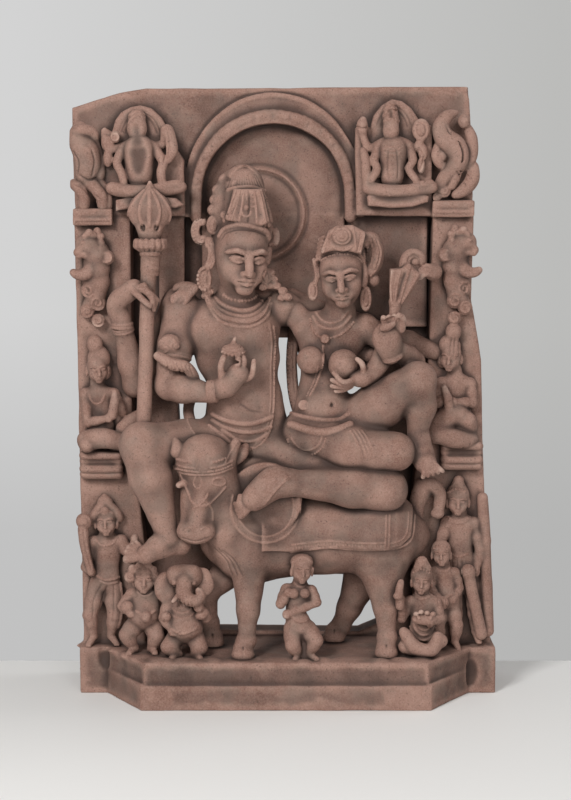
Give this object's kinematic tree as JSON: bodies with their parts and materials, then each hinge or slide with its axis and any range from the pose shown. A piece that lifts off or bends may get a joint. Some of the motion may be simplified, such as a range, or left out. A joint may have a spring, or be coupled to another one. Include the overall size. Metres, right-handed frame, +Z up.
{
  "type": "carved stone stele",
  "caption": "Upright stele carved from one block of red sandstone: a divine couple seated on a bull, attendants at both sides, an arch above and a stepped plinth below.",
  "frame": {"origin": "centre of the plinth's flat underside, at floor level", "axes": "+Z up along the stele's height, +Y into its depth towards the flat back, +X across its front to the viewer's right; the carved front faces -Y"},
  "size_m": [0.694, 0.26, 0.992],
  "materials": {
    "red_sandstone": "weathered red-brown sandstone, matt, with dark dust in the hollows and paler worn edges"
  },
  "bodies": {
    "root": {"carved_stele": "red_sandstone"}
  },
  "joints": []
}
